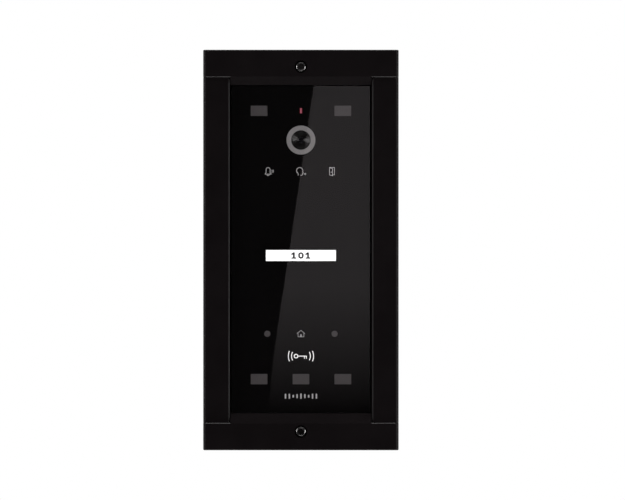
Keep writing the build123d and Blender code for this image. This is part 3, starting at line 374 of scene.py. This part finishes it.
def screw_steel(name, node):
    """Bright turned steel, with painted shade darkening the inside of the head's socket."""
    mat, tree, shader = material(name)
    centre = middle(node)
    head_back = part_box(node)[0].y + SCREW_HEAD_HEIGHT
    grooves = turning_marks(tree, centre)
    bright = shade(tree, grooves, dark=(0.66, 0.65, 0.64), light=(0.78, 0.77, 0.76))
    outside_socket_shade = between(tree, radius_from(tree, centre), low=0, high=1,
                     start=SOCKET_SHADE_FADE_START, end=SOCKET_SHADE_FADE_END)
    behind = between(tree, along(tree, "Y"), low=0, high=1,
                     start=head_back - HEAD_FADE_START, end=head_back - HEAD_FADE_END)
    tone = tree.nodes.new("ShaderNodeMix")
    tone.data_type = "RGBA"
    link(tree, calculated(tree, "MAXIMUM", outside_socket_shade, behind), tone.inputs["Factor"])
    # the dark colour A is painted shade inside the socket, where the head's own shadow falls
    tone.inputs["A"].default_value = (0.05, 0.047, 0.046, 1)
    link(tree, bright, tone.inputs["B"])
    link(tree, tone.outputs["Result"], shader.inputs["Base Color"])
    shader.inputs["Metallic"].default_value = 1.0
    link(tree, between(tree, grooves, low=0.16, high=0.26), shader.inputs["Roughness"])
    bump(tree, shader, grooves, depth_mm=0.003)
    return mat


def anodised_ring():
    """Light grey satin ring round the camera."""
    mat, tree, shader = material("anodised_ring")
    blast = noise(tree, size_mm=0.3, detail=4)
    tone = shade(tree, blast, dark=(0.515, 0.503, 0.508), light=(0.612, 0.598, 0.603))
    link(tree, tone, shader.inputs["Base Color"])
    link(tree, between(tree, blast, low=0.27, high=0.37), shader.inputs["Roughness"])
    shader.inputs["Metallic"].default_value = 0.35
    bump(tree, shader, blast, depth_mm=0.006)
    return mat


def coated_lens():
    """Dark camera glass with an anti-reflection coating."""
    mat, tree, shader = material("coated_lens")
    bloom = noise(tree, size_mm=4.0)
    tone = shade(tree, bloom, dark=(0.004, 0.004, 0.006), light=(0.009, 0.008, 0.011))
    link(tree, tone, shader.inputs["Base Color"])
    shader.inputs["Roughness"].default_value = 0.04
    shader.inputs["IOR"].default_value = 1.6
    shader.inputs["Coat Weight"].default_value = 0.6
    shader.inputs["Coat Roughness"].default_value = 0.03
    shader.inputs["Coat Tint"].default_value = (0.85, 0.8, 1.0, 1)
    return mat


def foam():
    """Closed-cell foam rubber."""
    mat, tree, shader = material("foam_rubber")
    bubbles = cells(tree, size_mm=0.8)
    tone = shade(tree, bubbles, dark=(0.012, 0.012, 0.012), light=(0.03, 0.03, 0.03),
                 start=0.1, end=0.6)
    link(tree, tone, shader.inputs["Base Color"])
    shader.inputs["Roughness"].default_value = 0.9
    bump(tree, shader, bubbles, depth_mm=0.15)
    return mat


def circuit_board():
    """Green solder mask over a plain pattern of paler lines, like tracks."""
    mat, tree, shader = material("circuit_board")
    tracks = tree.nodes.new("ShaderNodeTexBrick")
    tracks.inputs["Scale"].default_value = 260
    tracks.inputs["Mortar Size"].default_value = 0.035
    tracks.inputs["Color1"].default_value = (0.012, 0.085, 0.04, 1)
    tracks.inputs["Color2"].default_value = (0.016, 0.1, 0.048, 1)
    tracks.inputs["Mortar"].default_value = (0.04, 0.19, 0.09, 1)
    # the pattern lies in X and Y, and is turned to lie in X and Z
    turned = tree.nodes.new("ShaderNodeMapping")
    turned.inputs["Rotation"].default_value = (math.radians(90), 0, 0)
    place = tree.nodes.new("ShaderNodeTexCoord")
    link(tree, place.outputs["Object"], turned.inputs["Vector"])
    link(tree, turned.outputs["Vector"], tracks.inputs["Vector"])
    link(tree, tracks.outputs["Color"], shader.inputs["Base Color"])
    gloss = between(tree, noise(tree, size_mm=1.5), low=0.28, high=0.42)
    link(tree, gloss, shader.inputs["Roughness"])
    bump(tree, shader, tracks.outputs["Fac"], depth_mm=0.03)
    return mat


# by material slot; the plain finishes give name, colour, roughness, grain_mm and relief_mm
LOOKS = {
    "frame_coat": powder_coat(),
    "front_glass": pane_glass("front_glass_clear", (0.99, 0.985, 0.985), gloss_roughness=0.01),
    "black_print": black_ink(),
    "white_print": backlit("reader_glow", (0.95, 0.93, 0.93), strength=0.8),
    "grey_print": backlit("icon_glow", (0.52, 0.51, 0.52), strength=0.6),
    "black_foam": foam(),
    "black_plastic": grained("black_moulding", (0.016, 0.016, 0.017), 0.5, 0.35, 0.02),
    "grey_plastic": grained("grey_moulding", (0.075, 0.075, 0.08), 0.5, 0.4, 0.02),
    "smoked_window": smoked_plastic(),
    "red_window": light_pipe("red_glow", "status_light_pipe", core=(0.6, 0.16, 0.22),
                             rim=(0.1, 0.006, 0.012), strength=0.3),
    "diffuser": grained("white_diffuser", (0.72, 0.72, 0.7), 0.5, 0.5, 0.01, variation=0.04),
    "clear_cap": pane_glass("key_cap_clear", (0.99, 0.99, 0.99), gloss_roughness=0.03),
    "card_paper": name_card_paper(),
    "card_ink": grained("card_ink", (0.012, 0.012, 0.014), 0.7, 0.2, 0.003),
    "grey_anodised": anodised_ring(),
    "lens_glass": coated_lens(),
    "zinc_steel": grained("zinc_plate", (0.55, 0.56, 0.58), 0.3, 0.8, 0.005, metallic=1.0),
    "brass": grained("brass_insert", (0.66, 0.47, 0.19), 0.28, 0.5, 0.005, metallic=1.0),
    "rubber_seal": grained("seal_rubber", (0.014, 0.014, 0.014), 0.72, 0.6, 0.02),
    "grey_silicone": grained("key_silicone", (0.45, 0.45, 0.46), 0.55, 1.0, 0.01),
    "circuit_board": circuit_board(),
    "chip_black": grained("chip_epoxy", (0.018, 0.018, 0.019), 0.6, 0.25, 0.008),
    "led_body": grained("lamp_phosphor", (0.75, 0.66, 0.3), 0.45, 0.4, 0.006),
    "copper": grained("copper_track", (0.72, 0.36, 0.19), 0.35, 0.5, 0.004, metallic=1.0),
    "relay_case": grained("relay_case", (0.62, 0.62, 0.6), 0.4, 0.8, 0.01),
    "capacitor_can": grained("capacitor_can", (0.6, 0.6, 0.62), 0.32, 0.6, 0.004, metallic=1.0),
    "cone_paper": grained("cone_paper", (0.05, 0.048, 0.045), 0.9, 0.7, 0.05),
    "magnet_steel": grained("magnet_steel", (0.12, 0.12, 0.13), 0.45, 1.0, 0.01, metallic=1.0),
    "terminal_green": grained("terminal_green", (0.03, 0.24, 0.09), 0.42, 0.5, 0.01),
    "trimmer_blue": grained("trimmer_blue", (0.04, 0.13, 0.42), 0.4, 0.5, 0.01),
    "rotor_white": grained("rotor_white", (0.68, 0.67, 0.63), 0.42, 0.5, 0.01, variation=0.05),
}

# by node: the screws, and pieces that look different from others of the same slot
OWN_LOOKS = {
    "lower_symbols": backlit("symbol_glow", (0.42, 0.41, 0.42), strength=0.48),
    "lens_barrel": turned_black(middle("front_lens")),
    "upper_front_screw": screw_steel("upper_screw_steel", "upper_front_screw"),
    "lower_front_screw": screw_steel("lower_screw_steel", "lower_front_screw"),
}

for part in frame["record"]["subparts"]:
    node = part["node"]
    look = OWN_LOOKS[node] if node in OWN_LOOKS else LOOKS[part["material_slot"]]
    for holder in nodes[node].material_slots:
        holder.material = look

# ------------------------------------------------------------------ the call key's spring pad
PAD_SHEET_THICKNESS = 0.0008
PAD_EDGE = 0.00015
PAD_CORNER = 0.001
PAD_CORNER_STEPS = 8
DOME_FROM_MIDDLE = 0.015
DOME_STEPS = 64
DOME_RADIUS = 0.0029
DOME_TOP_RADIUS = 0.0017
DOME_TOP_EDGE = 0.00025
ROUNDED_MIDDLE = 0.3  # where a rounded edge's middle point lies, as a share of the edge
# the skirt's points: how far out from the post towards the foot, and how far up the dome
DOME_SKIRT = ((0.9, 0.12), (0.35, 0.5), (0.05, 0.68))


def add_shell(shape, rings):
    """Adds a closed shell through rings of points, capped at both ends."""
    loops = [[shape.verts.new(point) for point in ring] for ring in rings]
    for near, far in zip(loops, loops[1:]):
        for step, corner in enumerate(near):
            after = (step + 1) % len(near)
            shape.faces.new((corner, near[after], far[after], far[step]))
    shape.faces.new(loops[0])
    shape.faces.new(loops[-1])


def circle_ring(x, y, z, radius):
    """Points on a circle about an axis along Y."""
    turns = [math.tau * step / DOME_STEPS for step in range(DOME_STEPS)]
    return [(x + radius * math.cos(turn), y, z + radius * math.sin(turn)) for turn in turns]


def sheet_ring(low, high, y, inset):
    """Points on a rounded rectangle between low and high, moved in by inset."""
    corners = (
        (high.x, high.z, -1, -1),
        (low.x, high.z, 1, -1),
        (low.x, low.z, 1, 1),
        (high.x, low.z, -1, 1),
    )
    points = []
    for quarter, (end_x, end_z, side_x, side_z) in enumerate(corners):
        for step in range(PAD_CORNER_STEPS + 1):
            turn = math.radians(90) * (quarter + step / PAD_CORNER_STEPS)
            x = end_x + side_x * PAD_CORNER + (PAD_CORNER - inset) * math.cos(turn)
            z = end_z + side_z * PAD_CORNER + (PAD_CORNER - inset) * math.sin(turn)
            points.append((x, y, z))
    return points


def dome_profile(foot, top):
    """A dome's radius and y from foot to top: a skirt that leans in to a post with a flat top."""
    rise = foot - top
    skirt = [
        (DOME_TOP_RADIUS + out * (DOME_RADIUS - DOME_TOP_RADIUS), foot - up * rise)
        for out, up in DOME_SKIRT
    ]
    rounded = ROUNDED_MIDDLE * DOME_TOP_EDGE
    return [
        (DOME_RADIUS, foot + PAD_EDGE),
        (DOME_RADIUS, foot),
        *skirt,
        (DOME_TOP_RADIUS, top + DOME_TOP_EDGE),
        (DOME_TOP_RADIUS - rounded, top + rounded),
        (DOME_TOP_RADIUS - DOME_TOP_EDGE, top),
    ]


def spring_pad():
    """The silicone sheet with two domes that the call key presses."""
    low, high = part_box("key_pad")
    centre = (low + high) / 2
    sheet_front = high.y - PAD_SHEET_THICKNESS
    shape = bmesh.new()
    add_shell(shape, [
        sheet_ring(low, high, high.y, PAD_EDGE),
        sheet_ring(low, high, high.y - PAD_EDGE, 0),
        sheet_ring(low, high, sheet_front + PAD_EDGE, 0),
        sheet_ring(low, high, sheet_front, PAD_EDGE),
    ])
    for side in (-1, 1):
        dome_x = centre.x + side * DOME_FROM_MIDDLE
        add_shell(shape, [
            circle_ring(dome_x, y, centre.z, radius)
            for radius, y in dome_profile(sheet_front, low.y)
        ])
    bmesh.ops.recalc_face_normals(shape, faces=shape.faces)
    mesh = bpy.data.meshes.new("key_pad_silicone")
    shape.to_mesh(mesh)
    shape.free()
    pad = bpy.data.objects.new("key_pad_silicone", mesh)
    scene.collection.objects.link(pad)
    mesh.materials.append(LOOKS["grey_silicone"])
    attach(pad, "front_unit")
    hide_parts("key_pad")
    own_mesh(pad)


spring_pad()

# ------------------------------------------------------------------ camera
LENS_MM = 135.0
SENSOR_MM = 36.0
CAMERA_DISTANCE = 1.2872
AIM_ASIDE = 0.00637

camera_data = bpy.data.cameras.new("camera")
camera_data.lens = LENS_MM
camera_data.sensor_width = SENSOR_MM
camera = bpy.data.objects.new("camera", camera_data)
scene.collection.objects.link(camera)
camera.location = (AIM_ASIDE, PANEL_FRONT_Y - CAMERA_DISTANCE, 0)
camera.rotation_euler = (math.radians(90), 0, 0)
scene.camera = camera

# ------------------------------------------------------------------ lights
LIGHT_AIM = Vector((0, 0, 0))


def softbox(name, place, size, power, mirrored=True):
    """A rectangular area light, size wide and high, that faces the middle of the panel's back."""
    lamp = bpy.data.lights.new(name, "AREA")
    lamp.shape = "RECTANGLE"
    lamp.size, lamp.size_y = size
    lamp.energy = power
    box = bpy.data.objects.new(name, lamp)
    scene.collection.objects.link(box)
    box.location = place
    box.rotation_euler = (LIGHT_AIM - Vector(place)).to_track_quat("-Z", "Y").to_euler()
    box.visible_camera = False
    box.visible_glossy = mirrored


softbox("left_strip", place=(-1.0, -0.45, 0.1), size=(0.5, 0.6), power=2.1)
softbox("right_strip", place=(1.0, -0.45, -0.15), size=(0.5, 0.8), power=2.9)
softbox("left_edge", place=(-1.0, -0.06, 0), size=(0.14, 0.9), power=1.2)
softbox("right_edge", place=(1.0, -0.06, 0), size=(0.14, 0.9), power=1.5)
softbox("top_box", place=(0, -0.12, 1.0), size=(1.0, 0.2), power=9.5)
softbox("bottom_box", place=(0, -0.12, -1.0), size=(1.0, 0.2), power=8.0)
softbox("low_front", place=(0, -0.87, -1.0), size=(1.0, 0.3), power=0.35)
softbox("high_front", place=(0, -0.87, 1.0), size=(1.0, 0.3), power=0.16)
softbox("front_fill", place=(0, -1.6, 0.2), size=(1.2, 1.2), power=3.5, mirrored=False)
softbox("rear_left", place=(-0.9, 1.2, 0.6), size=(0.8, 0.8), power=16.0, mirrored=False)
softbox("rear_right", place=(0.9, 1.2, 0.6), size=(0.8, 0.8), power=16.0, mirrored=False)
softbox("rear_wide", place=(0, 1.5, -0.7), size=(2.4, 0.9), power=9.0)


# ------------------------------------------------------------------ floor
def stage_mesh(name, corners):
    """A flat stage piece with these corners."""
    mesh = bpy.data.meshes.new(name)
    mesh.from_pydata(corners, [], [tuple(range(len(corners)))])
    piece = bpy.data.objects.new(name, mesh)
    scene.collection.objects.link(piece)
    return piece


def pale_floor():
    """A pale floor, seen white by the camera and lit like any surface otherwise."""
    mat, tree, shader = material("pale_floor")
    mottle = noise(tree, size_mm=90, detail=2)
    tone = shade(tree, mottle, dark=(0.57, 0.57, 0.57), light=(0.63, 0.63, 0.63))
    link(tree, tone, shader.inputs["Base Color"])
    shader.inputs["Roughness"].default_value = 0.9
    white = tree.nodes.new("ShaderNodeEmission")
    ray = tree.nodes.new("ShaderNodeLightPath")
    seen = mixed(tree, ray.outputs["Is Camera Ray"], shader.outputs["BSDF"],
                 white.outputs["Emission"])
    link(tree, seen, first_node(tree, "OUTPUT_MATERIAL").inputs["Surface"])
    return mat


FLOOR_DROP = 1.2
FLOOR_REACH = 6.0
floor = stage_mesh("floor", [
    (side_x * FLOOR_REACH, side_y * FLOOR_REACH, cad_lo.z - FLOOR_DROP)
    for side_x, side_y in ((-1, -1), (1, -1), (1, 1), (-1, 1))
])
floor.data.materials.append(pale_floor())
floor.visible_glossy = False

# ------------------------------------------------------------------ light card
# It hangs in front of the panel, and the flat glass mirrors its leaning edge and its glow.
CARD_Y = -1.1
CARD_MARGIN = 0.03
CARD_STEPS = 24
CARD_GLOW = 0.485
# as mirrored on the glass: the edge's x at the middle, its lean, and its bend below a height
EDGE_AT_CENTRE = -0.0064
EDGE_LEAN = 0.1495
EDGE_BEND = 1.06
BEND_BELOW = -0.045
# as mirrored on the glass: the heights between which the glow fades out
FADE_TOP = -0.02
FADE_END = -0.092
# how many times larger the card is than its mirror image on the glass
CARD_SPREAD = 1 + (GLASS_FRONT_Y - CARD_Y) / (GLASS_FRONT_Y - camera.location.y)


def card_corner(x, z):
    """The card's point that the camera sees mirrored at x, z on the glass."""
    return (AIM_ASIDE + (x - AIM_ASIDE) * CARD_SPREAD, CARD_Y, z * CARD_SPREAD)


def edge_x(z):
    """Where the card's mirrored edge lies on the glass at this height."""
    bend = EDGE_BEND * min(z - BEND_BELOW, 0) ** 2
    return EDGE_AT_CENTRE + EDGE_LEAN * z + bend


def card_outline():
    """The card's corners: down its leaning edge and back up its right-hand side."""
    top = glass_hi.z + CARD_MARGIN
    bottom = glass_lo.z - CARD_MARGIN
    right = glass_hi.x + CARD_MARGIN
    heights = [top + (bottom - top) * step / CARD_STEPS for step in range(CARD_STEPS + 1)]
    edge = [card_corner(edge_x(z), z) for z in heights]
    return edge + [card_corner(right, bottom), card_corner(right, top)]


def card_glow():
    """White glow that fades towards the card's foot."""
    mat = bpy.data.materials.new("card_glow")
    mat.use_nodes = True
    tree = mat.node_tree
    tree.nodes.clear()
    output = tree.nodes.new("ShaderNodeOutputMaterial")
    glow = tree.nodes.new("ShaderNodeEmission")
    fade = between(tree, along(tree, "Z"), low=0, high=CARD_GLOW,
                   start=FADE_END * CARD_SPREAD, end=FADE_TOP * CARD_SPREAD)
    link(tree, fade, glow.inputs["Strength"])
    glow.inputs["Color"].default_value = (1, 0.922, 0.945, 1)
    link(tree, glow.outputs["Emission"], output.inputs["Surface"])
    return mat


light_card = stage_mesh("light_card", card_outline())
light_card.visible_camera = False
light_card.visible_diffuse = False
light_card.visible_shadow = False
light_card.data.materials.append(card_glow())

# ------------------------------------------------------------------ surroundings
world = bpy.data.worlds.new("studio")
scene.world = world
world.use_nodes = True
sky = world.node_tree
surround = first_node(sky, "BACKGROUND")
surround.inputs["Color"].default_value = (0.022, 0.021, 0.022, 1)
# the camera sees a white backdrop, which lights nothing
backdrop = sky.nodes.new("ShaderNodeBackground")
backdrop.inputs["Color"].default_value = (1, 1, 1, 1)
sky_ray = sky.nodes.new("ShaderNodeLightPath")
sky_seen = mixed(sky, sky_ray.outputs["Is Camera Ray"], surround.outputs["Background"],
                 backdrop.outputs["Background"])
link(sky, sky_seen, first_node(sky, "OUTPUT_WORLD").inputs["Surface"])

scene.view_settings.view_transform = "Standard"
scene.view_settings.look = "None"
